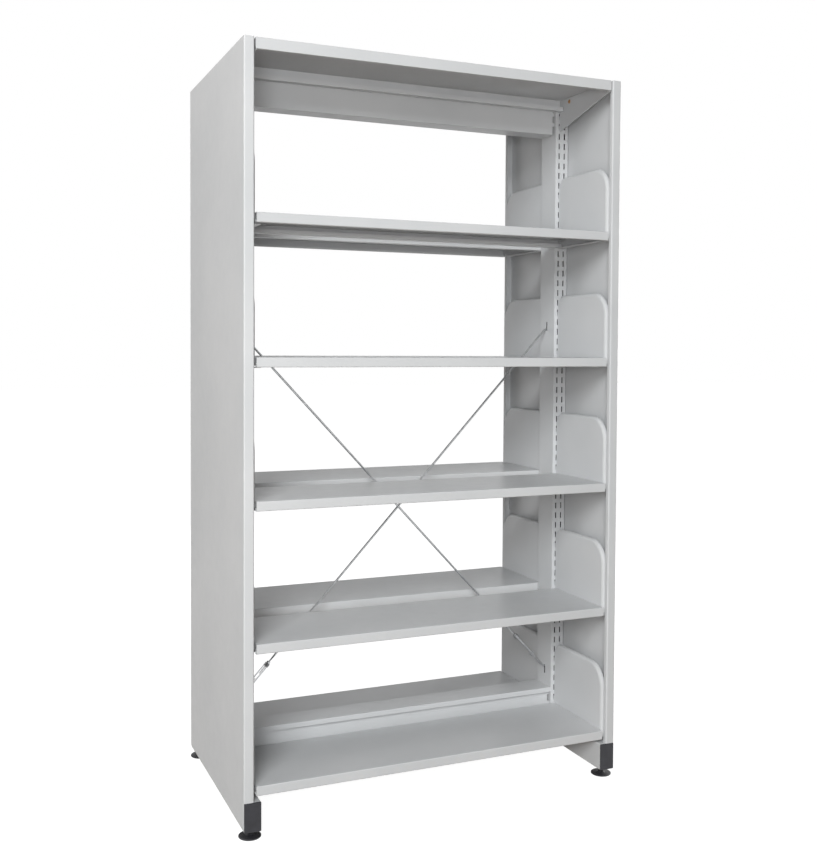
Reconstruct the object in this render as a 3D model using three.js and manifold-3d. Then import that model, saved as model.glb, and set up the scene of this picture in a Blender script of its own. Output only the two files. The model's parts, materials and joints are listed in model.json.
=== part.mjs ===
// Double sided library shelving bay: two T-shaped ends with slotted uprights and tray end panels,
// five hook-in shelves on each side, canopies, tie beams and a cross brace with turnbuckles.
// Millimetres, +Z up, origin on the floor under the middle of the bay, front towards -Y.
import * as THREE from 'three';
import { mergeVertices } from 'three/addons/utils/BufferGeometryUtils.js';
import Module from 'manifold-3d';

const wasm = await Module();
wasm.setup();

// Overall sizes
const unitWidth = 1096;
const unitDepth = 640;
const unitHeight = 2000;
const seatGap = 0.3;

// Shelf levels
const slotPitch = 30;
const levelCount = 5;
const bottomShelfTop = 133;
const firstSlotAboveShelf = 18;

// End panel: a folded tray
const panelSheet = 1.2;
const panelFlange = 27;
const panelLip = 14;
const panelBottom = 30;

// Base leg and its end caps
const legWidth = 44;
const legHeight = 75;
const legBottom = 22;
const legWall = 2;
const capFace = 3.5;
const capProud = 1.5;
const capBevel = 1.2;
const capPlug = 15;

// Levelling foot
const footInset = 30;
const footRadius = 29;
const footEdge = 4;
const footDish = 2;
const footHeight = 12;
const hubRadius = 9;
const stemRadius = 5;
const stemLength = 30;
const stemGap = 0.5;
const footSides = 12;

// Upright: a slotted rectangular tube
const uprightWidth = 43;
const uprightDepth = 84;
const uprightWall = 2;
const uprightTopDrop = 3;
const uprightPanelGap = 2.5;
const slotWidth = 4;
const slotHeight = 18;
const slotColumnSpacing = 18;

// Shelf: a folded tray with a gutter hem along its rear edge
const shelfSheet = 1.2;
const shelfFlange = 25;
const shelfSetback = 7;
const shelfRearGap = 2.5;
const shelfEndGap = 1;
const frontLip = 14;
const frontUpturn = 8;
const rearHem = 20;
const rearUpturn = 12;

// Shelf bracket: an end plate with hooks behind and a turned edge
const bracketSheet = 1.5;
const bracketRise = 188;
const bracketFrontGap = 1.5;
const bracketFlange = 10;
const bracketTopRadius = 66;
const bracketTopSteps = 3;
const bracketFootChamfer = 12;
const shoulderRun = 22;
const shoulderDrop = 24;
const supportFlange = 22;
const supportInset = 18;
const supportChamfer = 8;
const hookReach = 7;
const hookHeight = 11;
const hookDrop = 5.5;
const shelfHookSlots = [0, 4];

// Canopy and its brackets
const canopySetback = 3;
const canopyFlange = 28;
const canopyRearFlange = 36;
const canopyEndDrop = 24;
const canopyBracketHeight = 94;
const canopyBracketTip = 29;
const canopyHookSlots = [1, 0];

// Tie beams and the cover over the lower one
const beamSheet = 1.5;
const beamSetback = 10;
const beamHeight = 80;
const beamEndGap = 6;
const beamLip = 15;
const beamTab = 10;
const beamTabHeights = [26, 56];
const beamTongue = 40;
const tongueReach = 4;
const topBeamDrop = 104;
const coverTop = 183;
const coverLip = 14;
const coverSheet = 1.2;

// Cross brace: hooked rods with open-bodied turnbuckles
const rodRadius = 3;
const rodSides = 8;
const rodOffset = 3.4;
const rodSlotWidth = 8;
const rodSlotHeight = 28;
const rodSlotGap = 0.5;
const upperHookHeight = 1298;
const lowerHookHeight = 241;
const rodBend = 7;
const rodBendRadius = 7;
const rodHookReach = 10;
const rodHookTurn = 15;
const rodEndGap = 8;
const turnbuckleFromBend = 100;
const turnbuckleLength = 90;
const turnbuckleBoss = 11;
const turnbuckleAcross = 13;
const turnbuckleSides = 6;
const turnbuckleBore = 7;
const turnbuckleBar = 4;
const turnbuckleTurns = { a: 90, b: 0 };

// Planes that the pieces share, with the levels a whole number of slots apart
const slotsPerLevel = Math.floor((unitHeight - bottomShelfTop) / (levelCount * slotPitch));
const levelPitch = slotPitch * slotsPerLevel;
const halfWidth = unitWidth / 2;
const halfDepth = unitDepth / 2;
const panelInner = halfWidth - panelSheet;
const uprightOuter = panelInner - uprightPanelGap;
const uprightInner = uprightOuter - uprightWidth;
const uprightFace = uprightDepth / 2;
const uprightTop = unitHeight - uprightTopDrop;
const legTop = legBottom + legHeight;
const legOuter = panelInner - seatGap;
const legInner = legOuter - legWidth;
const legMiddle = legOuter - legWidth / 2;
const legEnd = halfDepth + capProud - capFace;
const slotMiddle = uprightInner + uprightWidth / 2;
const firstSlot = bottomShelfTop + firstSlotAboveShelf;
const slotCount = Math.floor((uprightTop - slotHeight - firstSlot) / slotPitch) + 1;
const plateOuter = slotMiddle - slotColumnSpacing / 2 + slotWidth / 2 - seatGap;
const plateInner = plateOuter - bracketSheet;
const plateRear = -uprightFace - seatGap;
const plateFront = -halfDepth + panelLip + bracketFrontGap;
const plateBase = -shelfFlange - seatGap - bracketSheet;
const shelfEnd = plateInner - shelfEndGap;
const shelfRear = -uprightFace - shelfRearGap;
const canopyEnd = plateOuter + seatGap + shelfSheet;
const canopyFront = -halfDepth + canopySetback;
const beamFace = uprightFace - beamSetback;
const topBeamBottom = unitHeight - topBeamDrop;
const bottomBeamBottom = coverTop - coverSheet - seatGap - beamHeight;
const bendX = uprightInner - rodBend;
const hookX = uprightInner + rodHookReach;

// Finishes
const paint = { color: 0xc9cbcb, roughness: 0.45, metalness: 0 };
const blackPlastic = { color: 0x26262a, roughness: 0.55, metalness: 0 };
const zinc = { color: 0xb9bcbe, roughness: 0.3, metalness: 1 };

function toSolid(geometry) {
  const bare = geometry.clone();
  bare.deleteAttribute('normal');
  bare.deleteAttribute('uv');
  const merged = mergeVertices(bare, 1e-4);
  const vertProperties = new Float32Array(merged.attributes.position.array);
  const triVerts = new Uint32Array(merged.index.array);
  return new wasm.Manifold(new wasm.Mesh({ numProp: 3, vertProperties, triVerts }));
}

// Flat faces that a join leaves in pieces are made whole again
function toGeometry(solid) {
  const mesh = solid.asOriginal().simplify().getMesh();
  const geometry = new THREE.BufferGeometry();
  geometry.setAttribute('position', new THREE.BufferAttribute(mesh.vertProperties, 3));
  geometry.setIndex(new THREE.BufferAttribute(mesh.triVerts, 1));
  geometry.computeVertexNormals();
  return geometry;
}

function union(geometries) {
  return geometries.map(toSolid).reduce((whole, piece) => whole.add(piece));
}

function join(...geometries) {
  return toGeometry(union(geometries));
}

function cut(blank, ...tools) {
  return toGeometry(toSolid(blank).subtract(union(tools)));
}

function box([x0, x1], [y0, y1], [z0, z1]) {
  const geometry = new THREE.BoxGeometry(x1 - x0, y1 - y0, z1 - z0);
  return geometry.translate((x0 + x1) / 2, (y0 + y1) / 2, (z0 + z1) / 2);
}

function polygon(points) {
  return new THREE.Shape(points.map(([a, b]) => new THREE.Vector2(a, b)));
}

// The section of a folded sheet: its outer fold line, and that line moved left by the thickness
function foldedSheet(line, thickness) {
  const corners = line.map(([a, b]) => new THREE.Vector2(a, b));
  const sides = corners.slice(1).map((corner, i) => corner.clone().sub(corners[i]).normalize());
  const inner = corners.map((corner, i) => {
    const before = sides[Math.max(i - 1, 0)];
    const after = sides[Math.min(i, sides.length - 1)];
    const across = new THREE.Vector2(-before.y - after.y, before.x + after.x);
    return corner.clone().addScaledVector(across, thickness / (1 + before.dot(after)));
  });
  return new THREE.Shape([...corners, ...inner.reverse()]);
}

// Points along an arc, in degrees anticlockwise from the first axis, with both ends
function arc([a, b], radius, [from, to], steps) {
  return Array.from({ length: steps + 1 }, (_, i) => {
    const angle = THREE.MathUtils.degToRad(from + (to - from) * i / steps);
    return [a + radius * Math.cos(angle), b + radius * Math.sin(angle)];
  });
}

function extrude(shape, depth) {
  return new THREE.ExtrudeGeometry(shape, { depth, bevelEnabled: false });
}

// A section drawn in Y and Z, run along X
function runX(shape, [x0, x1]) {
  const turn = new THREE.Matrix4().set(0, 0, 1, x0, 1, 0, 0, 0, 0, 1, 0, 0, 0, 0, 0, 1);
  return extrude(shape, x1 - x0).applyMatrix4(turn);
}

// A section drawn in X and Y, run along Z
function runZ(shape, [z0, z1]) {
  return extrude(shape, z1 - z0).translate(0, 0, z0);
}

function cylinder(radius, [z0, z1], sides) {
  const geometry = new THREE.CylinderGeometry(radius, radius, z1 - z0, sides);
  return geometry.rotateX(Math.PI / 2).translate(0, 0, (z0 + z1) / 2);
}

function mirrorX(geometry) {
  return toGeometry(toSolid(geometry).mirror([1, 0, 0]));
}

function place(parent, name, geometry, finish, { x = 0, y = 0, z = 0, turn = 0 } = {}) {
  const mesh = new THREE.Mesh(geometry, new THREE.MeshStandardMaterial(finish));
  mesh.name = name;
  mesh.position.set(x, y, z);
  mesh.rotation.z = turn;
  parent.add(mesh);
  return mesh;
}

// Two columns of hook slots, cut through the front and back walls together
function hookSlots() {
  const slots = [];
  for (const side of [-1, 1]) {
    const column = slotMiddle + side * slotColumnSpacing / 2;
    for (let i = 0; i < slotCount; i += 1) {
      const middle = firstSlot + i * slotPitch;
      slots.push(box(
        [column - slotWidth / 2, column + slotWidth / 2],
        [-uprightFace - uprightWall, uprightFace + uprightWall],
        [middle - slotHeight / 2, middle + slotHeight / 2],
      ));
    }
  }
  return slots;
}

// Holes in the side that faces the bay, for the two rod hooks and the two beam tongues
function sideHoles() {
  const through = [uprightInner - uprightWall, uprightInner + 2 * uprightWall];
  const upperBottom = upperHookHeight - rodRadius - rodSlotGap;
  const lowerTop = lowerHookHeight + rodRadius + rodSlotGap;
  const halfTongue = beamTongue / 2 + seatGap;
  const rodHole = (y, z0) => box(
    through,
    [y - rodSlotWidth / 2, y + rodSlotWidth / 2],
    [z0, z0 + rodSlotHeight],
  );
  const tongueHole = (z) => box(
    through,
    [-halfTongue, halfTongue],
    [z - seatGap, z + beamSheet + seatGap],
  );
  return [
    rodHole(rodOffset, upperBottom),
    rodHole(-rodOffset, lowerTop - rodSlotHeight),
    tongueHole(topBeamBottom),
    tongueHole(bottomBeamBottom),
  ];
}

function upright() {
  const blank = box([uprightInner, uprightOuter], [-uprightFace, uprightFace], [legTop, uprightTop]);
  const hollow = box(
    [uprightInner + uprightWall, uprightOuter - uprightWall],
    [-uprightFace + uprightWall, uprightFace - uprightWall],
    [legTop - uprightWall, uprightTop + uprightWall],
  );
  return cut(cut(blank, hollow), ...hookSlots(), ...sideHoles());
}

// The tray's flanges stop above the leg, and only its outer sheet runs on down
function endPanel() {
  const lipX = halfWidth - panelFlange;
  const section = foldedSheet([
    [lipX, -halfDepth + panelLip],
    [lipX, -halfDepth],
    [halfWidth, -halfDepth],
    [halfWidth, halfDepth],
    [lipX, halfDepth],
    [lipX, halfDepth - panelLip],
  ], panelSheet);
  const tray = runZ(section, [panelBottom, unitHeight]);
  const top = box(
    [lipX, halfWidth],
    [-halfDepth, halfDepth],
    [unitHeight - panelSheet, unitHeight],
  );
  const legRoom = box(
    [lipX - panelSheet, panelInner],
    [-unitDepth, unitDepth],
    [0, legTop + seatGap],
  );
  return cut(join(tray, top), legRoom);
}

function baseLeg() {
  const blank = box([legInner, legOuter], [-legEnd, legEnd], [legBottom, legTop]);
  const hollow = box(
    [legInner + legWall, legOuter - legWall],
    [-legEnd - legWall, legEnd + legWall],
    [legBottom + legWall, legTop - legWall],
  );
  const stemHoles = [-1, 1].map((side) =>
    cylinder(stemRadius + stemGap, [legBottom - legWall, legBottom + 2 * legWall], footSides)
      .translate(legMiddle, side * (halfDepth - footInset), 0));
  return cut(blank, hollow, ...stemHoles);
}

// Drawn about the leg's middle line, with the bevelled face towards -Y
function legCap() {
  const halfX = legWidth / 2;
  const face = new THREE.ExtrudeGeometry(
    polygon([[-halfX, legBottom], [halfX, legBottom], [halfX, legTop], [-halfX, legTop]]),
    {
      depth: capFace,
      bevelThickness: capBevel,
      bevelSize: capBevel,
      bevelOffset: -capBevel,
      bevelSegments: 1,
    },
  ).rotateX(Math.PI / 2).translate(0, -legEnd + capBevel, 0);
  const rear = box([-legWidth, legWidth], [-legEnd, -legEnd + legWidth], [0, 2 * legTop]);
  const margin = legWall + seatGap;
  const plug = box(
    [-halfX + margin, halfX - margin],
    [-legEnd - capFace / 2, -legEnd + capPlug],
    [legBottom + margin, legTop - margin],
  );
  return join(cut(face, rear), plug);
}

function levellingFoot() {
  const profile = [
    [0, 0],
    [footRadius, 0],
    [footRadius, footEdge],
    [hubRadius, footEdge + footDish],
    [stemRadius, footHeight],
    [stemRadius, footHeight + stemLength],
    [0, footHeight + stemLength],
  ].map(([r, z]) => new THREE.Vector2(r, z));
  return new THREE.LatheGeometry(profile, footSides).rotateX(Math.PI / 2);
}

// Heights are measured from the shelf's top face
function shelf() {
  const section = foldedSheet([
    [shelfRear - rearHem, rearUpturn - shelfFlange],
    [shelfRear - rearHem, -shelfFlange],
    [shelfRear, -shelfFlange],
    [shelfRear, 0],
    [-halfDepth + shelfSetback, 0],
    [-halfDepth + shelfSetback, -shelfFlange],
    [-halfDepth + shelfSetback + frontLip, -shelfFlange],
    [-halfDepth + shelfSetback + frontLip, frontUpturn - shelfFlange],
  ], shelfSheet);
  return runX(section, [-shelfEnd, shelfEnd]);
}

// The outline of downward hooks along a plate's rear edge, from the lowest one to the top
function rearHooks(slotBottoms) {
  const lipFace = -uprightFace + uprightWall + seatGap;
  const tip = plateRear + hookReach;
  return slotBottoms.flatMap((slotBottom) => {
    const seat = slotBottom + seatGap;
    return [
      [plateRear, seat],
      [lipFace, seat],
      [lipFace, seat - hookDrop],
      [tip, seat - hookDrop],
      [tip, seat + hookHeight],
      [plateRear, seat + hookHeight],
    ];
  });
}

// The bracket on the +X side of the front, with heights measured from the shelf's top face
function shelfBracket() {
  const shoulder = plateRear - shoulderRun;
  const topCentre = [plateFront + bracketTopRadius, bracketRise - bracketTopRadius];
  const outerEdge = (inset) => [
    [shoulder, bracketRise - inset],
    ...arc(topCentre, bracketTopRadius - inset, [90, 180], bracketTopSteps),
    [plateFront + inset, plateBase + bracketFootChamfer],
  ];
  const slotBottom = firstSlotAboveShelf - slotHeight / 2;
  const plate = polygon([
    ...outerEdge(0),
    [plateFront + bracketFootChamfer, plateBase],
    [plateRear, plateBase],
    ...rearHooks(shelfHookSlots.map((slot) => slotBottom + slot * slotPitch)),
    [plateRear, bracketRise - shoulderDrop],
  ]);
  const edge = polygon([...outerEdge(0), ...outerEdge(bracketSheet).reverse()]);

  const supportFront = plateFront + bracketFootChamfer;
  const supportRear = plateRear - supportInset;
  const supportEdge = plateInner - supportFlange;
  const support = runZ(polygon([
    [plateOuter, supportRear],
    [supportEdge, supportRear],
    [supportEdge, supportFront + supportChamfer],
    [supportEdge + supportChamfer, supportFront],
    [plateOuter, supportFront],
  ]), [plateBase, plateBase + bracketSheet]);
  return join(
    runX(plate, [plateInner, plateOuter]),
    runX(edge, [plateInner, plateOuter + bracketFlange]),
    support,
  );
}

// The hems stop short of the bracket plates, which stand between them and the end flanges
function canopy() {
  const rear = shelfRear;
  const bottom = unitHeight - canopyFlange;
  const rearBottom = unitHeight - canopyRearFlange;
  const skin = foldedSheet([
    [rear, unitHeight],
    [canopyFront, unitHeight],
    [canopyFront, bottom],
  ], shelfSheet);
  const hems = foldedSheet([
    [rear - rearHem, rearBottom + rearUpturn],
    [rear - rearHem, rearBottom],
    [rear, rearBottom],
    [rear, unitHeight],
    [canopyFront, unitHeight],
    [canopyFront, bottom],
    [canopyFront + frontLip, bottom],
  ], shelfSheet);
  const endFlange = (side) => box(
    [canopyEnd - shelfSheet, canopyEnd].map((x) => side * x).sort((a, b) => a - b),
    [canopyFront, rear - rearHem],
    [unitHeight - canopyEndDrop, unitHeight],
  );
  return join(
    runX(skin, [-canopyEnd, canopyEnd]),
    runX(hems, [-shelfEnd, shelfEnd]),
    endFlange(-1),
    endFlange(1),
  );
}

function canopyBracket() {
  const top = unitHeight - shelfSheet - seatGap;
  const tip = canopyFront + shelfSheet + seatGap;
  const topSlotBottom = firstSlot - slotHeight / 2 + (slotCount - 1) * slotPitch;
  const hookSeats = canopyHookSlots.map((slot) => topSlotBottom - slot * slotPitch);
  const plate = polygon([
    [tip, top],
    [tip, top - canopyBracketTip],
    [plateRear, top - canopyBracketHeight],
    ...rearHooks(hookSeats),
    [plateRear, top],
  ]);
  return runX(plate, [plateInner, plateOuter]);
}

// A channel with tabs that close its end gaps and a tongue that enters each upright
function tieBeam() {
  const end = uprightInner - beamEndGap;
  const section = foldedSheet([
    [-beamFace + beamLip, beamHeight],
    [-beamFace, beamHeight],
    [-beamFace, 0],
    [beamFace, 0],
    [beamFace, beamHeight],
    [beamFace - beamLip, beamHeight],
  ], beamSheet);
  const tabReach = [-uprightInner + seatGap, uprightInner - seatGap];
  const tongueEnd = uprightInner + uprightWall + tongueReach;
  const tabs = [];
  for (const side of [-1, 1]) {
    const wall = [beamFace - beamSheet, beamFace].map((y) => side * y).sort((a, b) => a - b);
    for (const height of beamTabHeights) {
      tabs.push(box(tabReach, wall, [height, height + beamTab]));
    }
  }
  const tongue = box([-tongueEnd, tongueEnd], [-beamTongue / 2, beamTongue / 2], [0, beamSheet]);
  return join(runX(section, [-end, end]), tongue, ...tabs);
}

function baseCover() {
  const face = uprightFace + seatGap + coverSheet;
  const section = foldedSheet([
    [face, coverTop - coverLip],
    [face, coverTop],
    [-face, coverTop],
    [-face, coverTop - coverLip],
  ], coverSheet);
  return runX(section, [-uprightInner + seatGap, uprightInner - seatGap]);
}

// A run of straight stretches, with the section set square to the bisector at each corner
class Route extends THREE.Curve {
  constructor(points) {
    super();
    this.points = points;
  }

  getPointAt(u) {
    return this.points[Math.round(u * (this.points.length - 1))].clone();
  }

  getTangentAt(u) {
    const here = Math.round(u * (this.points.length - 1));
    const tangent = new THREE.Vector3();
    for (const i of [here - 1, here]) {
      if (i >= 0 && i < this.points.length - 1) {
        tangent.add(this.points[i + 1].clone().sub(this.points[i]).normalize());
      }
    }
    return tangent.normalize();
  }
}

// Rounds each inner corner of a route in X and Z with two chords
function roundCorners(corners, radius) {
  const points = [corners[0]];
  for (let i = 1; i < corners.length - 1; i += 1) {
    const inward = corners[i - 1].clone().sub(corners[i]).normalize();
    const outward = corners[i + 1].clone().sub(corners[i]).normalize();
    const half = inward.angleTo(outward) / 2;
    const reach = radius / Math.tan(half);
    const middle = inward.clone().add(outward).normalize();
    points.push(corners[i].clone().addScaledVector(inward, reach));
    points.push(corners[i].clone().addScaledVector(middle, radius / Math.sin(half) - radius));
    points.push(corners[i].clone().addScaledVector(outward, reach));
  }
  points.push(corners[corners.length - 1]);
  return points;
}

function bentRod(corners) {
  const points = roundCorners(corners.map(([x, z]) => new THREE.Vector3(x, 0, z)), rodBendRadius);
  const section = polygon(Array.from({ length: rodSides }, (_, i) => {
    const angle = 2 * Math.PI * (i + 0.5) / rodSides;
    return [rodRadius * Math.cos(angle), rodRadius * Math.sin(angle)];
  }));
  return new THREE.ExtrudeGeometry(section, {
    steps: points.length - 1,
    extrudePath: new Route(points),
  });
}

// Two hexagonal bosses joined by a pair of bars, drawn along Z
function turnbuckle() {
  const half = turnbuckleLength / 2;
  const cornerRatio = 2 * Math.cos(Math.PI / turnbuckleSides);
  const bosses = [-half, half - turnbuckleBoss].map((z) =>
    cylinder(turnbuckleAcross / cornerRatio, [z, z + turnbuckleBoss], turnbuckleSides));
  const bars = [-1, 1].map((side) => box(
    [turnbuckleBore / 2, turnbuckleAcross / 2].map((x) => side * x).sort((a, b) => a - b),
    [-turnbuckleBar / 2, turnbuckleBar / 2],
    [turnbuckleBoss / 2 - half, half - turnbuckleBoss / 2],
  ));
  const bore = cylinder(
    turnbuckleBore / cornerRatio,
    [-turnbuckleLength, turnbuckleLength],
    turnbuckleSides,
  );
  return cut(join(...bosses, ...bars), bore);
}

function addEnd(parent, end, sideNames) {
  place(parent, `upright_${end}`, shapes.upright, paint);
  place(parent, `end_panel_${end}`, shapes.endPanel, paint);
  place(parent, `base_leg_${end}`, shapes.baseLeg, paint);
  sideNames.forEach((side, i) => {
    const turn = i * Math.PI;
    const y = (2 * i - 1) * (halfDepth - footInset);
    place(parent, `leg_cap_${side}_${end}`, shapes.legCap, blackPlastic, { x: legMiddle, turn });
    place(parent, `levelling_foot_${side}_${end}`, shapes.levellingFoot, blackPlastic, { x: legMiddle, y });
  });
}

function addSide(parent, side, endNames) {
  place(parent, `canopy_${side}`, shapes.canopy, paint);
  endNames.forEach((end, i) => {
    place(parent, `canopy_bracket_${side}_${end}`, shapes.canopyBrackets[i], paint);
  });
  for (let level = 0; level < levelCount; level += 1) {
    const z = bottomShelfTop + level * levelPitch;
    place(parent, `shelf_${side}_${level + 1}`, shapes.shelf, paint, { z });
    endNames.forEach((end, i) => {
      place(parent, `shelf_bracket_${side}_${end}_${level + 1}`, shapes.shelfBrackets[i], paint, { z });
    });
  }
}

// A rod from the far upright down to its turnbuckle, and the hooked end from there to the near one
function addBrace(parent, name) {
  const upperBend = new THREE.Vector2(-bendX, upperHookHeight);
  const lowerBend = new THREE.Vector2(bendX, lowerHookHeight);
  const along = lowerBend.clone().sub(upperBend).normalize();
  const middle = lowerBend.clone().addScaledVector(along, -turnbuckleFromBend);
  const rodEnd = middle.clone().addScaledVector(along, -rodEndGap);
  const hookStart = middle.clone().addScaledVector(along, rodEndGap);
  const rod = bentRod([
    [-hookX, upperHookHeight + rodHookTurn],
    [-hookX, upperHookHeight],
    upperBend.toArray(),
    rodEnd.toArray(),
  ]);
  const hook = bentRod([
    hookStart.toArray(),
    lowerBend.toArray(),
    [hookX, lowerHookHeight],
    [hookX, lowerHookHeight - rodHookTurn],
  ]);
  const y = -rodOffset;
  place(parent, `brace_rod_${name}`, rod, zinc, { y });
  place(parent, `brace_hook_${name}`, hook, zinc, { y });
  const body = place(parent, `turnbuckle_${name}`, turnbuckle(), zinc, { x: middle.x, y, z: middle.y });
  body.rotation.y = Math.atan2(along.x, along.y);
  body.rotation.z = THREE.MathUtils.degToRad(turnbuckleTurns[name]);
}

const rightBracket = shelfBracket();
const rightCanopyBracket = canopyBracket();
const shapes = {
  upright: upright(),
  endPanel: endPanel(),
  baseLeg: baseLeg(),
  legCap: legCap(),
  levellingFoot: levellingFoot(),
  canopy: canopy(),
  canopyBrackets: [rightCanopyBracket, mirrorX(rightCanopyBracket)],
  shelf: shelf(),
  shelfBrackets: [rightBracket, mirrorX(rightBracket)],
};

// The bay is the same after half a turn, so each end, side and brace is built twice
const group = new THREE.Group();
const firstHalf = new THREE.Group();
const secondHalf = new THREE.Group();
secondHalf.rotation.z = Math.PI;
group.add(firstHalf, secondHalf);
addEnd(firstHalf, 'right', ['front', 'back']);
addEnd(secondHalf, 'left', ['back', 'front']);
addSide(firstHalf, 'front', ['right', 'left']);
addSide(secondHalf, 'back', ['left', 'right']);
addBrace(firstHalf, 'a');
addBrace(secondHalf, 'b');
place(group, 'top_beam', tieBeam(), paint, { z: topBeamBottom });
place(group, 'bottom_beam', tieBeam(), paint, { z: bottomBeamBottom });
place(group, 'base_cover', baseCover(), paint);

export default group;
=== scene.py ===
import json
import math
import bmesh
import bpy
from mathutils import Matrix, Vector

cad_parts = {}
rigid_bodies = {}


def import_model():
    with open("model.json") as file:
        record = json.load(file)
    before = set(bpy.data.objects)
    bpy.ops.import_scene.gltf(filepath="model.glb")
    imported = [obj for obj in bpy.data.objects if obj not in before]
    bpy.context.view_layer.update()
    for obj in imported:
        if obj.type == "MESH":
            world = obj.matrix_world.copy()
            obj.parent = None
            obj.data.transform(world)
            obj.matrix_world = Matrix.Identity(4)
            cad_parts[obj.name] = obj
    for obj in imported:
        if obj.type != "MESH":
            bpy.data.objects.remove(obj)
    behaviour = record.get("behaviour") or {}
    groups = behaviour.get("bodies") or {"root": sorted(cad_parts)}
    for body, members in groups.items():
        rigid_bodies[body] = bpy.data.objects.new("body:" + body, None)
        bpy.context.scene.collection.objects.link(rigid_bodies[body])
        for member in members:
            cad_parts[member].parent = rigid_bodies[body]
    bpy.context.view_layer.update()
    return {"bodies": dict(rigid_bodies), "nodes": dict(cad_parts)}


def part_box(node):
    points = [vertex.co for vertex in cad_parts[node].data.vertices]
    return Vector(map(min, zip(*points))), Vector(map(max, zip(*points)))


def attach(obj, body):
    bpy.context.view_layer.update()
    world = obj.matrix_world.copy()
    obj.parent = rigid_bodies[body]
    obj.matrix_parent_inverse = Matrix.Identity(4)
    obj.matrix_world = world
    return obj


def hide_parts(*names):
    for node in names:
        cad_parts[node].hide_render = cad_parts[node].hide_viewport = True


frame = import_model()
scene = bpy.context.scene
scene.view_settings.view_transform = "Standard"
sides = ("front", "back")
ends = ("left", "right")
otherEnd = {"left": "right", "right": "left"}
levels = range(1, 6)
mm = 0.001
tiny = 0.01 * mm  # points nearer than this are one point
print("frame loaded:", len(frame["nodes"]), "nodes")

# camera, left of the bay's middle and level with the fourth shelf
cameraView = {"place": (-1.207, -2.886, 1.236), "yaw": 23.22, "pitch": -1.834, "roll": 0.30,
              "lens": 46.83, "sensorWidth": 36.0, "shiftUp": -0.05704}


def addCamera():
    lens = bpy.data.cameras.new("bayCamera")
    lens.sensor_fit = "HORIZONTAL"
    lens.sensor_width = cameraView["sensorWidth"]
    lens.lens = cameraView["lens"]
    lens.shift_y = cameraView["shiftUp"]
    camera = bpy.data.objects.new("bayCamera", lens)
    turn = Matrix.Rotation(math.radians(-cameraView["yaw"]), 4, "Z")
    tilt = Matrix.Rotation(math.radians(90 + cameraView["pitch"]), 4, "X")
    roll = Matrix.Rotation(math.radians(cameraView["roll"]), 4, "Z")
    camera.matrix_world = Matrix.Translation(cameraView["place"]) @ turn @ tilt @ roll
    scene.collection.objects.link(camera)
    scene.camera = camera


addCamera()
print("camera placed")

# soft boxes round the bay, brightest at the front left; only the mirrored ones show in the gloss
softBoxes = {
    "keyBox": {"place": (-4.2, -6.5, 4.6), "aim": (0.0, 0.0, 1.0), "size": (3.0, 3.0),
               "watts": 500, "tint": (0.97, 0.995, 1.0), "mirrored": False},
    "eyeBox": {"place": (-1.35, -3.25, 1.3), "aim": (0.0, 0.0, 1.05), "size": (1.2, 1.0),
               "watts": 51, "tint": (0.98, 0.995, 1.0), "mirrored": False},
    "leftBox": {"place": (-3.0, -0.6, 3.0), "aim": (-0.5, 0.0, 1.5), "size": (1.6, 1.6),
                "watts": 26, "tint": (1.0, 0.975, 0.955), "mirrored": True},
    "rightBox": {"place": (3.4, 0.5, 1.6), "aim": (0.5, 0.0, 1.0), "size": (1.8, 1.8),
                 "watts": 50, "tint": (1.0, 1.0, 1.0), "mirrored": True},
    "rearBox": {"place": (-0.8, 4.2, 1.2), "aim": (0.2, 0.0, 1.1), "size": (1.8, 1.2),
                "watts": 40, "tint": (1.0, 0.98, 0.96), "mirrored": False},
}
roomGlow = {"strength": 0.03, "tint": (0.93, 0.97, 1.0, 1.0)}
floorLook = {"reach": 30.0, "pale": (0.30, 0.25, 0.205, 1.0), "shadow": (0.30, 0.30, 0.30, 1.0),
             "white": 0.95, "fadeStart": 1.0, "fadeEnd": 3.2}


def addLights():
    for name, values in softBoxes.items():
        lamp = bpy.data.lights.new(name, "AREA")
        lamp.shape = "RECTANGLE"
        lamp.size, lamp.size_y = values["size"]
        lamp.energy = values["watts"]
        lamp.color = values["tint"]
        holder = bpy.data.objects.new(name, lamp)
        holder.location = values["place"]
        heading = Vector(values["aim"]) - Vector(values["place"])
        holder.rotation_euler = heading.to_track_quat("-Z", "Y").to_euler()
        holder.visible_camera = False
        holder.visible_glossy = values["mirrored"]
        scene.collection.objects.link(holder)


def seenFactor(tree):
    # one where the camera, a reflection or a see-through ray looks
    path = tree.nodes.new("ShaderNodeLightPath")
    either = path.outputs["Is Camera Ray"]
    for ray in ("Is Glossy Ray", "Is Transmission Ray"):
        most = tree.nodes.new("ShaderNodeMath")
        most.operation = "MAXIMUM"
        tree.links.new(either, most.inputs[0])
        tree.links.new(path.outputs[ray], most.inputs[1])
        either = most.outputs[0]
    return either


def showSeen(tree, lighting, seen, output):
    # one shader for the light that falls on the bay, another for what is looked at
    choose = tree.nodes.new("ShaderNodeMixShader")
    tree.links.new(seenFactor(tree), choose.inputs[0])
    tree.links.new(lighting.outputs[0], choose.inputs[1])
    tree.links.new(seen.outputs[0], choose.inputs[2])
    tree.links.new(choose.outputs[0], tree.nodes[output].inputs["Surface"])


def addRoom():
    world = bpy.data.worlds.new("studioRoom")
    world.use_nodes = True
    tree = world.node_tree
    glow = tree.nodes["Background"]
    glow.inputs["Color"].default_value = roomGlow["tint"]
    glow.inputs["Strength"].default_value = roomGlow["strength"]
    white = tree.nodes.new("ShaderNodeBackground")
    white.inputs["Color"].default_value = (1, 1, 1, 1)
    white.inputs["Strength"].default_value = 1
    showSeen(tree, glow, white, "World Output")
    scene.world = world


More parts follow.
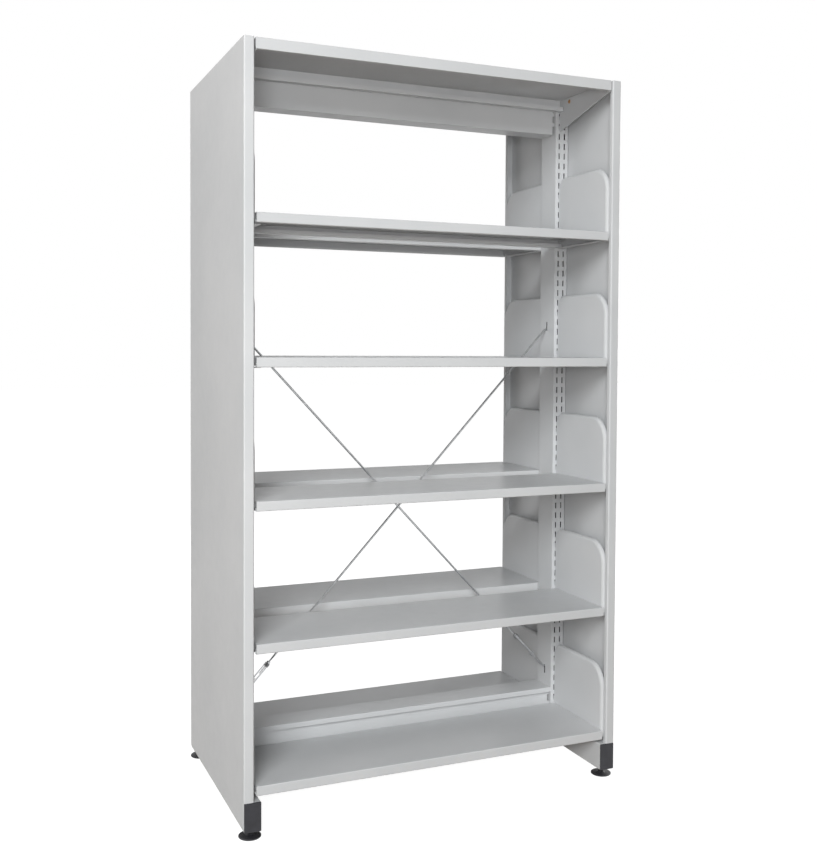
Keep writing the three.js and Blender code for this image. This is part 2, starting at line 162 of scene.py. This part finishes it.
def floorMaterial():
    material = bpy.data.materials.new("paleFloor")
    material.use_nodes = True
    tree = material.node_tree
    tree.nodes.remove(tree.nodes["Principled BSDF"])
    ground = tree.nodes.new("ShaderNodeBsdfDiffuse")
    ground.inputs["Color"].default_value = floorLook["pale"]
    shadow = tree.nodes.new("ShaderNodeBsdfDiffuse")
    shadow.inputs["Color"].default_value = floorLook["shadow"]
    white = tree.nodes.new("ShaderNodeEmission")
    coords = tree.nodes.new("ShaderNodeTexCoord")
    away = tree.nodes.new("ShaderNodeVectorMath")
    away.operation = "LENGTH"
    tree.links.new(coords.outputs["Object"], away.inputs[0])
    fade = tree.nodes.new("ShaderNodeMapRange")
    fade.inputs["From Min"].default_value = floorLook["fadeStart"]
    fade.inputs["From Max"].default_value = floorLook["fadeEnd"]
    fade.inputs["To Min"].default_value = floorLook["white"]
    fade.inputs["To Max"].default_value = 1
    tree.links.new(away.outputs["Value"], fade.inputs["Value"])
    tree.links.new(fade.outputs["Result"], white.inputs["Strength"])
    both = tree.nodes.new("ShaderNodeAddShader")
    tree.links.new(white.outputs[0], both.inputs[0])
    tree.links.new(shadow.outputs[0], both.inputs[1])
    showSeen(tree, ground, both, "Material Output")
    return material


def addFloor():
    bm = bmesh.new()
    bmesh.ops.create_grid(bm, x_segments=1, y_segments=1, size=floorLook["reach"])
    mesh = bpy.data.meshes.new("studioFloor")
    bm.to_mesh(mesh)
    bm.free()
    mesh.materials.append(floorMaterial())
    floor = bpy.data.objects.new("studioFloor", mesh)
    scene.collection.objects.link(floor)


addLights()
addRoom()
addFloor()
print("studio set")

# finishes: cloud is the slow colour change, grain the fine bump, both in waves per metre
paintLook = {"name": "greyPowderCoat", "dark": (0.560, 0.568, 0.578, 1), "light": (0.610, 0.614, 0.622, 1),
             "cloud": 3.0, "grain": 900.0, "grainDepth": 0.00006, "rough": (0.30, 0.38), "metal": 0.0, "shine": 0.12}
plasticLook = {"name": "blackPlastic", "dark": (0.016, 0.016, 0.019, 1), "light": (0.026, 0.026, 0.031, 1),
               "cloud": 40.0, "grain": 1600.0, "grainDepth": 0.00005, "rough": (0.42, 0.58), "metal": 0.0, "shine": 0.5}
zincLook = {"name": "zincPlate", "dark": (0.50, 0.51, 0.525, 1), "light": (0.68, 0.69, 0.70, 1),
            "cloud": 60.0, "grain": 1200.0, "grainDepth": 0.00003, "rough": (0.22, 0.40), "metal": 1.0, "shine": 0.5}
# a near-black finish for the insides of the uprights: painted shade, seen through the slots
tubeShadeLook = {"name": "paintedTubeShade", "dark": (0.030, 0.030, 0.036, 1), "light": (0.055, 0.055, 0.062, 1),
             "cloud": 20.0, "grain": 800.0, "grainDepth": 0.00004, "rough": (0.55, 0.70), "metal": 0.0, "shine": 0.2}
yellowLook = {"name": "yellowPassivate", "dark": (0.55, 0.27, 0.13, 1), "light": (0.72, 0.42, 0.20, 1),
              "cloud": 90.0, "grain": 1500.0, "grainDepth": 0.00002, "rough": (0.28, 0.42), "metal": 1.0, "shine": 0.5}
# what the finishes share: the part of the noise that is used, its detail, and how much finer the gloss changes
mottle = {"cloudLow": 0.32, "cloudHigh": 0.68, "cloudDetail": 4, "glossLow": 0.3, "glossHigh": 0.7, "glossDetail": 3,
          "glossFiner": 12, "grainDetail": 2, "grainStrength": 0.5}


def noiseField(tree, coords, scale, detail):
    field = tree.nodes.new("ShaderNodeTexNoise")
    field.inputs["Scale"].default_value = scale
    field.inputs["Detail"].default_value = detail
    tree.links.new(coords.outputs["Object"], field.inputs["Vector"])
    return field.outputs["Fac"]


def makeFinish(look):
    material = bpy.data.materials.new(look["name"])
    material.use_nodes = True
    tree = material.node_tree
    shader = tree.nodes["Principled BSDF"]
    shader.inputs["Metallic"].default_value = look["metal"]
    shader.inputs["Specular IOR Level"].default_value = look["shine"]
    coords = tree.nodes.new("ShaderNodeTexCoord")
    shades = tree.nodes.new("ShaderNodeValToRGB")
    darkest, lightest = shades.color_ramp.elements
    darkest.position, darkest.color = mottle["cloudLow"], look["dark"]
    lightest.position, lightest.color = mottle["cloudHigh"], look["light"]
    cloud = noiseField(tree, coords, look["cloud"], mottle["cloudDetail"])
    tree.links.new(cloud, shades.inputs["Fac"])
    tree.links.new(shades.outputs["Color"], shader.inputs["Base Color"])
    gloss = tree.nodes.new("ShaderNodeMapRange")
    gloss.inputs["From Min"].default_value = mottle["glossLow"]
    gloss.inputs["From Max"].default_value = mottle["glossHigh"]
    gloss.inputs["To Min"].default_value = look["rough"][0]
    gloss.inputs["To Max"].default_value = look["rough"][1]
    patches = noiseField(tree, coords, look["cloud"] * mottle["glossFiner"], mottle["glossDetail"])
    tree.links.new(patches, gloss.inputs["Value"])
    tree.links.new(gloss.outputs["Result"], shader.inputs["Roughness"])
    bump = tree.nodes.new("ShaderNodeBump")
    bump.inputs["Strength"].default_value = mottle["grainStrength"]
    bump.inputs["Distance"].default_value = look["grainDepth"]
    grain = noiseField(tree, coords, look["grain"], mottle["grainDetail"])
    tree.links.new(grain, bump.inputs["Height"])
    tree.links.new(bump.outputs["Normal"], shader.inputs["Normal"])
    return material


greyPaint = makeFinish(paintLook)
blackPlastic = makeFinish(plasticLook)
zincPlate = makeFinish(zincLook)
tubeShadeFinish = makeFinish(tubeShadeLook)
yellowPlate = makeFinish(yellowLook)
print("finishes made")

sharpFold = math.radians(34)  # folds over this keep a crisp edge in the shading


def vertsOf(made):
    return [part for part in made["geom"] if isinstance(part, bmesh.types.BMVert)]


def edgesOf(parts):
    return [part for part in parts if isinstance(part, bmesh.types.BMEdge)]


def edgesAmong(verts):
    kept = set(verts)
    return list(dict.fromkeys(edge for vert in verts for edge in vert.link_edges if edge.other_vert(vert) in kept))


def facesAt(verts):
    return list(dict.fromkeys(face for vert in verts for face in vert.link_faces))


def edgesWhere(bm, test):
    return [edge for edge in bm.edges if all(test(vert.co) for vert in edge.verts)]


def addWire(bm, points, closed=False):
    verts = [bm.verts.new(point) for point in points]
    for here, there in zip(verts, verts[1:]):
        bm.edges.new((here, there))
    if closed:
        bm.edges.new((verts[-1], verts[0]))
    return verts


def roundCorners(bm, verts, radius, steps):
    bmesh.ops.bevel(bm, geom=verts, offset=radius, segments=steps, profile=0.5, affect="VERTICES", material=-1)


def roundEdges(bm, edges, radius, steps):
    bmesh.ops.bevel(bm, geom=edges, offset=radius, segments=steps, profile=0.5, affect="EDGES",
                    clamp_overlap=True, material=-1)


def pullEdges(bm, edges, shift):
    verts = vertsOf(bmesh.ops.extrude_edge_only(bm, edges=edges))
    bmesh.ops.translate(bm, verts=verts, vec=shift)
    return verts


def spinRound(bm, geom, steps):
    bmesh.ops.spin(bm, geom=geom, cent=(0, 0, 0), axis=(0, 0, 1), angle=2 * math.pi, steps=steps, use_merge=True)


def weld(bm, verts):
    bmesh.ops.remove_doubles(bm, verts=verts, dist=tiny)


def faceOutwards(bm):
    bmesh.ops.recalc_face_normals(bm, faces=bm.faces[:])


def thickenSheet(bm, sheet, hand):
    # the largest face looks to this hand along X, and the sheet thickens behind it
    faceOutwards(bm)
    largest = max(bm.faces, key=lambda face: face.calc_area())
    if largest.normal.x * hand < 0:
        bmesh.ops.reverse_faces(bm, faces=bm.faces[:])
    bmesh.ops.solidify(bm, geom=bm.faces[:], thickness=sheet)


def aimAlong(heading):
    return Vector((0, 0, 1)).rotation_difference(heading).to_matrix().to_4x4()


def turnToSide(bm, side):
    if side == "back":
        bmesh.ops.rotate(bm, verts=bm.verts[:], cent=(0, 0, 0), matrix=Matrix.Rotation(math.pi, 3, "Z"))


def mergedCopy(node):
    bm = bmesh.new()
    bm.from_mesh(frame["nodes"][node].data)
    weld(bm, bm.verts[:])
    return bm


def foldStrip(profile, span, form):
    # a sheet folded along X, from the outer skin's corners in Y and Z
    bm = bmesh.new()
    corners = addWire(bm, [(span[0], y, z) for y, z in profile])
    roundCorners(bm, corners[1:-1], form["bend"], form["bendSteps"])
    pullEdges(bm, bm.edges[:], (span[1] - span[0], 0, 0))
    faceOutwards(bm)
    bmesh.ops.solidify(bm, geom=bm.faces[:], thickness=form["sheet"])
    return bm


def finishPiece(bm, name, finish, node=None):
    mesh = bpy.data.meshes.new(name)
    bm.to_mesh(mesh)
    bm.free()
    mesh.shade_smooth()
    mesh.set_sharp_from_angle(angle=sharpFold)
    mesh.materials.append(finish)
    piece = bpy.data.objects.new(name, mesh)
    scene.collection.objects.link(piece)
    flatten = piece.modifiers.new("evenShading", "WEIGHTED_NORMAL")
    flatten.keep_sharp = True
    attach(piece, node if node in frame["bodies"] else "frame")
    if node:
        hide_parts(node)
    return piece


# shelves: folded trays with a gutter hem behind and a turned lip in front
shelfFold = {"sheet": 1.2 * mm, "bend": 2.2 * mm, "bendSteps": 4, "frontLip": 14 * mm, "frontUpturn": 8 * mm,
             "rearHem": 20 * mm, "rearUpturn": 12 * mm, "endFold": 16.5 * mm, "endInset": 0.3 * mm, "foldGap": 0.1 * mm}


def addEndFolds(bm, low, high):
    # a turned-down edge closes each end of the tray, between the front lip and the rear hem
    sheet, gap = shelfFold["sheet"], shelfFold["foldGap"]
    front, rear = low[1] + sheet + gap, high[1] - shelfFold["rearHem"] - sheet
    top, foot = high[2] - sheet - gap, high[2] - shelfFold["endFold"]
    for end, inward in ((low[0], 1), (high[0], -1)):
        x = end + inward * shelfFold["endInset"]
        corners = addWire(bm, [(x, front, top), (x, front, foot), (x, rear, foot), (x, rear, top)], closed=True)
        outside = bm.faces.new(corners)
        inside = vertsOf(bmesh.ops.extrude_face_region(bm, geom=[outside], use_keep_orig=True))
        bmesh.ops.translate(bm, verts=inside, vec=(inward * sheet, 0, 0))
        bmesh.ops.recalc_face_normals(bm, faces=facesAt(corners + inside))


def addShelf(side, level):
    low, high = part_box(f"shelf_front_{level}")
    front, rear, bottom, top = low[1], high[1], low[2], high[2]
    hem, lip = rear - shelfFold["rearHem"], front + shelfFold["frontLip"]
    profile = [(hem, bottom + shelfFold["rearUpturn"]), (hem, bottom), (rear, bottom), (rear, top),
               (front, top), (front, bottom), (lip, bottom), (lip, bottom + shelfFold["frontUpturn"])]
    bm = foldStrip(profile, (low[0], high[0]), shelfFold)
    addEndFolds(bm, low, high)
    turnToSide(bm, side)
    finishPiece(bm, f"foldedShelf_{side}_{level}", greyPaint, f"shelf_{side}_{level}")


for side in sides:
    for level in levels:
        addShelf(side, level)
print("shelves folded")

# shelf brackets: a hooked plate with a turned edge round its front and a flange below that the shelf rests on
bracketFold = {"sheet": 1.5 * mm, "topRadius": 66 * mm, "topSteps": 14, "footCorner": 8 * mm, "footSteps": 1,
               "shoulderRun": 22 * mm, "shoulderDrop": 24 * mm, "edge": 10 * mm, "rimFold": 9 * mm, "rimSteps": 6,
               "support": 22 * mm, "supportStart": 23 * mm, "supportInset": 18 * mm, "supportCorner": 8 * mm,
               "supportSteps": 3, "hooks": 2, "hookStep": 120 * mm, "hookSeat": 36.1 * mm, "hookReach": 7 * mm,
               "hookThroat": 2.6 * mm, "hookDrop": 5.5 * mm, "hookHeight": 11 * mm}


def bracketOutline(front, rear, base, top, firstSeat):
    # the flat plate's corners in Y and Z, from the upper front one down and round
    form = bracketFold
    outline = [(front, top), (front, base), (rear, base)]
    throat, tip = rear + form["hookThroat"], rear + form["hookReach"]
    for hook in range(form["hooks"]):
        seat = firstSeat + hook * form["hookStep"]
        low, high = seat - form["hookDrop"], seat + form["hookHeight"]
        outline += [(rear, seat), (throat, seat), (throat, low), (tip, low), (tip, high), (rear, high)]
    return outline + [(rear, top - form["shoulderDrop"]), (rear - form["shoulderRun"], top)]


def turnRim(bm, hand, shoulder, base):
    # the turned edge, pulled from the front and top of the plate and rolled where it leaves it
    form = bracketFold
    rim = [edge for edge in bm.edges if max(v.co.y for v in edge.verts) < shoulder + tiny
           and max(v.co.z for v in edge.verts) > base + tiny]
    pullEdges(bm, rim, (hand * (form["sheet"] + form["edge"]), 0, 0))
    roundEdges(bm, rim, form["rimFold"], form["rimSteps"])


def turnSupport(bm, hand, plate, base, start, stop):
    # the support flange, pulled from the plate's foot between start and stop
    form = bracketFold
    feet = edgesWhere(bm, lambda co: abs(co.z - base) < tiny and abs(co.x - hand * plate) < tiny)
    foot = max(feet, key=lambda edge: edge.calc_length())
    for spot in (start, stop):
        nearest = min(foot.verts, key=lambda v: v.co.y)
        share = (spot - nearest.co.y) / foot.calc_length()
        split = bmesh.utils.edge_split(foot, nearest, share)[1]
        ledge, foot = sorted(split.link_edges, key=lambda edge: sum(v.co.y for v in edge.verts))
    pullEdges(bm, [ledge], (-hand * form["support"], 0, 0))
    nose = min((v for v in bm.verts if v.co.x * hand < plate - form["support"] + tiny), key=lambda v: v.co.y)
    roundCorners(bm, [nose], form["supportCorner"], form["supportSteps"])


def addShelfBracket(side, end, level):
    form = bracketFold
    low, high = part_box(f"shelf_bracket_front_right_{level}")
    hand = 1 if (end == "right") == (side == "front") else -1
    plate = high[0] - form["edge"] - form["sheet"]
    front, rear, base, top = low[1], high[1] - form["hookReach"], low[2] + form["sheet"], high[2]
    outline = bracketOutline(front, rear, base, top, low[2] + form["hookSeat"])
    bm = bmesh.new()
    corners = addWire(bm, [(hand * plate, y, z) for y, z in outline], closed=True)
    roundCorners(bm, corners[:1], form["topRadius"], form["topSteps"])
    roundCorners(bm, corners[1:2], form["footCorner"], form["footSteps"])
    plateFace = bmesh.ops.contextual_create(bm, geom=bm.edges[:])["faces"][0]
    plateFace.normal_update()
    if plateFace.normal.x * hand > 0:
        plateFace.normal_flip()
    turnRim(bm, hand, rear - form["shoulderRun"], base)
    turnSupport(bm, hand, plate, base, front + form["supportStart"], rear - form["supportInset"])
    thickenSheet(bm, form["sheet"], -hand)
    turnToSide(bm, side)
    finishPiece(bm, f"hookedBracket_{side}_{end}_{level}", greyPaint, f"shelf_bracket_{side}_{end}_{level}")


for side in sides:
    for end in ends:
        for level in levels:
            addShelfBracket(side, end, level)
print("shelf brackets folded")

# end panels: trays whose flanges stop above the leg, with the outer sheet running on down
panelFold = {"sheet": 1.2 * mm, "lip": 14 * mm, "bend": 4.0 * mm, "bendSteps": 6, "legTop": 97.3 * mm}


def addEndPanel(end):
    low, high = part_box("end_panel_right")
    inner, outer, front, back, top = low[0], high[0], low[1], high[1], high[2]
    lip, legTop = panelFold["lip"], panelFold["legTop"]
    bm = bmesh.new()
    corners = addWire(bm, [(inner, front + lip, legTop), (inner, front, legTop), (outer, front, legTop),
                           (outer, back, legTop), (inner, back, legTop), (inner, back - lip, legTop)])
    roundCorners(bm, corners[1:-1], panelFold["bend"], panelFold["bendSteps"])
    outerSheet = max(bm.edges, key=lambda edge: edge.calc_length())
    pullEdges(bm, bm.edges[:], (0, 0, top - legTop))
    bmesh.ops.contextual_create(bm, geom=edgesWhere(bm, lambda co: co.z > top - mm))
    pullEdges(bm, [outerSheet], (0, 0, low[2] - legTop))
    thickenSheet(bm, panelFold["sheet"], 1)
    turnToSide(bm, "front" if end == "right" else "back")
    finishPiece(bm, f"trayPanel_{end}", greyPaint, f"end_panel_{end}")


for end in ends:
    addEndPanel(end)
print("end panels folded")

# rolled tube corners on the uprights and legs, and folded corners on the beams and canopies
tubeSoften = {"upright": 5.0 * mm, "leg": 3.0 * mm, "beam": 2.0 * mm, "canopy": 1.0 * mm, "steps": 4,
              "wall": 2.0 * mm, "canopyFlange": 28 * mm, "slack": 0.05 * mm}


def boxCorners(low, high, axis):
    # where a box's four edges along one axis stand in the other two
    first, second = [i for i in range(3) if i != axis]
    return [(u, v) for u in (low[first], high[first]) for v in (low[second], high[second])]


def edgesAlong(bm, axis, spots):
    # edges that run along one axis through the given places in the other two
    others = [i for i in range(3) if i != axis]
    slack = tubeSoften["slack"]

    def onSpot(vert):
        return any(all(abs(vert.co[i] - spot[k]) < slack for k, i in enumerate(others)) for spot in spots)

    return [edge for edge in bm.edges if all(onSpot(v) for v in edge.verts)
            and all(abs(edge.verts[0].co[i] - edge.verts[1].co[i]) < slack for i in others)]


def addSoftCopy(node, name, axis, spots, radius):
    bm = mergedCopy(node)
    roundEdges(bm, edgesAlong(bm, axis, spots), radius, tubeSoften["steps"])
    return finishPiece(bm, name, greyPaint, node)


def paintShadeInside(mesh, low, high):
    # faces that lie within the tube's walls get the near-black finish: painted shade seen through the slots
    wall = tubeSoften["wall"] - tubeSoften["slack"]
    mesh.materials.append(tubeShadeFinish)
    for face in mesh.polygons:
        spots = [mesh.vertices[i].co for i in face.vertices]
        if all(low[0] + wall < co.x < high[0] - wall and low[1] + wall < co.y < high[1] - wall for co in spots):
            face.material_index = 1


def addUpright(end):
    low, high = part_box(f"upright_{end}")
    tube = addSoftCopy(f"upright_{end}", f"slottedUpright_{end}", 2, boxCorners(low, high, 2), tubeSoften["upright"])
    paintShadeInside(tube.data, low, high)


def addBaseLeg(end):
    low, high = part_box(f"base_leg_{end}")
    addSoftCopy(f"base_leg_{end}", f"baseTube_{end}", 1, boxCorners(low, high, 1), tubeSoften["leg"])


def addTieBeam(name):
    low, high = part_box(f"{name}_beam")
    addSoftCopy(f"{name}_beam", f"tieChannel_{name}", 0, boxCorners(low, high, 0), tubeSoften["beam"])


def addCanopy(side):
    low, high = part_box(f"canopy_{side}")
    face = low[1] if side == "front" else high[1]
    corners = [(face, high[2]), (face, high[2] - tubeSoften["canopyFlange"])]
    addSoftCopy(f"canopy_{side}", f"canopyTray_{side}", 0, corners, tubeSoften["canopy"])


for end in ends:
    addUpright(end)
    addBaseLeg(end)
for name in ("top", "bottom"):
    addTieBeam(name)
for side in sides:
    addCanopy(side)
print("tubes, beams and canopies softened")

# cover over the bottom beam, a strip with both edges turned down
coverFold = {"sheet": 1.2 * mm, "bend": 2.2 * mm, "bendSteps": 4}


def addBaseCover():
    low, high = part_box("base_cover")
    profile = [(high[1], low[2]), (high[1], high[2]), (low[1], high[2]), (low[1], low[2])]
    finishPiece(foldStrip(profile, (low[0], high[0]), coverFold), "capping_cover", greyPaint, "base_cover")


addBaseCover()
print("base cover folded")

# leg caps: a face pillowed in steps of run and rise, with a plug behind
capForm = {"face": 3.5 * mm, "corner": 2.2 * mm, "cornerSteps": 4, "plugMargin": 2.3 * mm, "pillow": 1.2 * mm,
           "pillowSteps": ((0.3 * mm, 0.60 * mm), (0.5 * mm, 0.35 * mm), (0.8 * mm, 0.15 * mm))}


def addLegCap(side, end):
    low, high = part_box(f"leg_cap_front_{end if side == 'front' else otherEnd[end]}")
    size = Vector(high) - Vector(low)
    middle = (Vector(high) + Vector(low)) / 2
    plate = capForm["face"] - capForm["pillow"]
    bm = bmesh.new()
    bmesh.ops.create_cube(bm, size=1)
    bmesh.ops.scale(bm, vec=(size.x, plate, size.z), verts=bm.verts[:])
    bmesh.ops.translate(bm, vec=(middle.x, low[1] + capForm["pillow"] + plate / 2, middle.z), verts=bm.verts[:])
    crossing = [edge for edge in bm.edges if abs(edge.verts[0].co.y - edge.verts[1].co.y) > plate / 2]
    roundEdges(bm, crossing, capForm["corner"], capForm["cornerSteps"])
    bm.normal_update()
    face = min(bm.faces, key=lambda f: f.normal.y)
    rear = max(bm.faces, key=lambda f: f.normal.y)
    bmesh.ops.inset_individual(bm, faces=[rear], thickness=capForm["plugMargin"], depth=0)
    plug = bmesh.ops.extrude_discrete_faces(bm, faces=[rear])["faces"][0]
    bmesh.ops.translate(bm, verts=plug.verts[:], vec=(0, high[1] - low[1] - capForm["face"], 0))
    for run, rise in capForm["pillowSteps"]:
        bmesh.ops.inset_individual(bm, faces=[face], thickness=run, depth=rise)
    turnToSide(bm, side)
    finishPiece(bm, f"legPlug_{side}_{end}", blackPlastic, f"leg_cap_{side}_{end}")


# levelling feet: a dished pad with a hub and a threaded stem
footForm = {"edge": 4 * mm, "round": 1.0 * mm, "dishShare": 0.72, "dishRise": 0.6 * mm, "hub": 9 * mm,
            "hubTop": 10 * mm, "skirt": 2 * mm, "skirtRise": 1.4 * mm, "skirtTop": 3 * mm, "stem": 5 * mm,
            "threadPitch": 1.75 * mm, "threadDepth": 0.7 * mm, "plainTurns": 2, "steps": 48}


def footProfile(radius, top):
    # from the middle of the pad's underside round to the top of the stem, as radius and height
    form = footForm
    edge, soft, hub, hubTop = form["edge"], form["round"], form["hub"], form["hubTop"]
    crest, root, pitch = form["stem"], form["stem"] - form["threadDepth"], form["threadPitch"]
    profile = [(0, 0), (radius - soft, 0), (radius, soft), (radius, edge - soft), (radius - soft, edge),
               (radius * form["dishShare"], edge + form["dishRise"]), (hub + form["skirt"], edge + form["skirtRise"]),
               (hub, edge + form["skirtTop"]), (hub, hubTop - soft), (hub - soft, hubTop)]
    height = hubTop
    while height < top - form["plainTurns"] * pitch:
        profile += [(root, height), (crest, height + pitch / 2)]
        height += pitch
    return profile + [(root, height), (root, top), (0, top)]


def addFoot(side, end):
    node = f"levelling_foot_{side}_{end}"
    low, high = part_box(node)
    middle = ((low[0] + high[0]) / 2, (low[1] + high[1]) / 2, 0)
    bm = bmesh.new()
    addWire(bm, [(out, 0, up) for out, up in footProfile((high[0] - low[0]) / 2, high[2])])
    spinRound(bm, bm.verts[:] + bm.edges[:], footForm["steps"])
    weld(bm, bm.verts[:])
    faceOutwards(bm)
    bmesh.ops.translate(bm, vec=middle, verts=bm.verts[:])
    finishPiece(bm, f"levelPad_{side}_{end}", blackPlastic, node)


for side in sides:
    for end in ends:
        addLegCap(side, end)
        addFoot(side, end)
print("caps and feet made")

# cross brace: two hooked rods, each with a short hooked end and an open turnbuckle with two lock nuts
braceForm = {"radius": 3 * mm, "sides": 16, "bendRadius": 7 * mm, "bendSteps": 6, "offset": 3.4 * mm,
             "bendX": 494.3 * mm, "hookX": 511.3 * mm, "upper": 1298 * mm, "lower": 241 * mm, "hookTurn": 15 * mm,
             "turnbuckle": 100 * mm, "endGap": 8 * mm,
             "thread": 66 * mm, "threadPitch": 1.5 * mm, "threadDepth": 0.45 * mm}
turnbuckleForm = {"round": 0.5 * mm, "roundSteps": 2, "sharp": 0.5, "flat": math.radians(0.5)}  # angles in radians
lockNut = {"corner": 5.8 * mm, "sides": 6, "bore": 3.75 * mm, "thick": 5 * mm, "fromMiddle": 48 * mm,
           "chamfer": 0.5 * mm, "chamferSteps": 2, "rimBand": 0.1 * mm}


def pullRing(bm, ring, shift, swell=0):
    verts = pullEdges(bm, ring, shift)
    if swell:
        middle = sum((v.co for v in verts), Vector()) / len(verts)
        factor = 1 + swell / braceForm["radius"]
        bmesh.ops.scale(bm, vec=(factor, factor, factor), verts=verts, space=Matrix.Translation(-middle))
    return edgesAmong(verts)


def bentRod(points):
    # from a capped ring at the hook to a threaded end
    form = braceForm
    bm = bmesh.new()
    place = Matrix.Translation(points[0]) @ aimAlong((points[1] - points[0]).normalized())
    bmesh.ops.create_circle(bm, cap_ends=True, radius=form["radius"], segments=form["sides"], matrix=place)
    ring = bm.edges[:]
    here = points[0]
    for before, corner, after in zip(points, points[1:], points[2:]):
        heading, following = (corner - before).normalized(), (after - corner).normalized()
        angle = heading.angle(following)
        setback = form["bendRadius"] * math.tan(angle / 2)
        ring = pullRing(bm, ring, corner - heading * setback - here)
        axis = heading.cross(following).normalized()
        centre = corner - heading * setback + axis.cross(heading) * form["bendRadius"]
        spun = bmesh.ops.spin(bm, geom=ring, cent=centre, axis=axis, angle=angle, steps=form["bendSteps"])
        ring = edgesOf(spun["geom_last"])
        here = corner + following * setback
    heading = (points[-1] - points[-2]).normalized()
    ring = pullRing(bm, ring, heading * ((points[-1] - here).length - form["thread"]))
    halfTurn = heading * form["threadPitch"] / 2
    for turn in range(int(form["thread"] / form["threadPitch"])):
        ring = pullRing(bm, ring, halfTurn, -form["threadDepth"])
        ring = pullRing(bm, ring, halfTurn, form["threadDepth"])
    bmesh.ops.contextual_create(bm, geom=ring)
    faceOutwards(bm)
    return bm


def addLockNut(bm, spot, heading):
    # a nut run up against the turnbuckle's end
    form = lockNut
    body = set(bm.verts)

    def nutVerts():
        return [vert for vert in bm.verts if vert not in body]

    half = form["thick"] / 2
    section = addWire(bm, [(form["bore"], 0, -half), (form["corner"], 0, -half),
                           (form["corner"], 0, half), (form["bore"], 0, half)], closed=True)
    spinRound(bm, section + edgesAmong(section), form["sides"])
    weld(bm, nutVerts())
    bmesh.ops.recalc_face_normals(bm, faces=facesAt(nutVerts()))
    outermost = form["corner"] - form["rimBand"]
    rim = [edge for edge in edgesAmong(nutVerts()) if all(v.co.xy.length > outermost for v in edge.verts)]
    roundEdges(bm, rim, form["chamfer"], form["chamferSteps"])
    bmesh.ops.transform(bm, matrix=Matrix.Translation(spot) @ aimAlong(heading), verts=nutVerts())


def addTurnbuckle(name, side, middle, along):
    form = turnbuckleForm
    bm = mergedCopy(f"turnbuckle_{name}")
    bmesh.ops.dissolve_limit(bm, angle_limit=form["flat"], verts=bm.verts[:], edges=bm.edges[:])
    rims = [edge for edge in bm.edges if len(edge.link_faces) == 2
            and edge.calc_face_angle() > form["sharp"] and edge.is_convex]
    roundEdges(bm, rims, form["round"], form["roundSteps"])
    turnToSide(bm, side)  # to the front, where the nuts go on, and back
    for reach in (-lockNut["fromMiddle"], lockNut["fromMiddle"]):
        addLockNut(bm, middle + along * reach, along)
    turnToSide(bm, side)
    finishPiece(bm, f"turnbuckleBody_{name}", zincPlate, f"turnbuckle_{name}")


def addBrace(name, side):
    form = braceForm
    bendX, hookX, upperZ, lowerZ = form["bendX"], form["hookX"], form["upper"], form["lower"]
    upper, lower = Vector((-bendX, 0, upperZ)), Vector((bendX, 0, lowerZ))
    along = (lower - upper).normalized()
    middle = lower - along * form["turnbuckle"]
    gap = along * form["endGap"]
    shift = Vector((0, -form["offset"], 0))
    rod = [Vector((-hookX, 0, upperZ + form["hookTurn"])), Vector((-hookX, 0, upperZ)), upper, middle - gap]
    hook = [Vector((hookX, 0, lowerZ - form["hookTurn"])), Vector((hookX, 0, lowerZ)), lower, middle + gap]
    for kind, points in (("rod", rod), ("hook", hook)):
        bm = bentRod([point + shift for point in points])
        turnToSide(bm, side)
        finishPiece(bm, f"brace{kind.capitalize()}_{name}", zincPlate, f"brace_{kind}_{name}")
    addTurnbuckle(name, side, middle + shift, along)


addBrace("a", "front")
addBrace("b", "back")
print("brace made")

# canopy brackets keep their solids, each with a plated screw on its inner face; dome points are shares of its size
canopyScrew = {"radius": 6 * mm, "height": 3 * mm, "sunk": 0.2 * mm, "steps": 24,
               "dome": ((0, 1), (0.25, 1), (0.55, 0.9), (0.85, 0.6), (1, 0.2)),
               "bracketRear": 42.3 * mm, "fromRear": 55 * mm, "below": 12 * mm}


def addCanopyScrew(side, end):
    form = canopyScrew
    low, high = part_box(f"canopy_bracket_{side}_{end}")
    face, inward = (low[0], -1) if end == "right" else (high[0], 1)
    outward = -1 if side == "front" else 1
    rear = form["bracketRear"] * outward
    spot = Vector((face, rear + outward * form["fromRear"], high[2] - form["below"]))
    radius, height = form["radius"], form["height"]
    bm = bmesh.new()
    addWire(bm, [(radius * out, 0, height * up) for out, up in form["dome"]] + [(radius, 0, -form["sunk"])])
    spinRound(bm, bm.verts[:] + bm.edges[:], form["steps"])
    weld(bm, bm.verts[:])
    bmesh.ops.holes_fill(bm, edges=[edge for edge in bm.edges if edge.is_boundary], sides=0)
    faceOutwards(bm)
    aim = aimAlong(Vector((inward, 0, 0)))
    bmesh.ops.transform(bm, matrix=Matrix.Translation(spot) @ aim, verts=bm.verts[:])
    finishPiece(bm, f"canopyScrew_{side}_{end}", yellowPlate)


for side in sides:
    for end in ends:
        bracket = frame["nodes"][f"canopy_bracket_{side}_{end}"]
        bracket.data.materials[0] = greyPaint
        addCanopyScrew(side, end)
print("canopy brackets dressed")
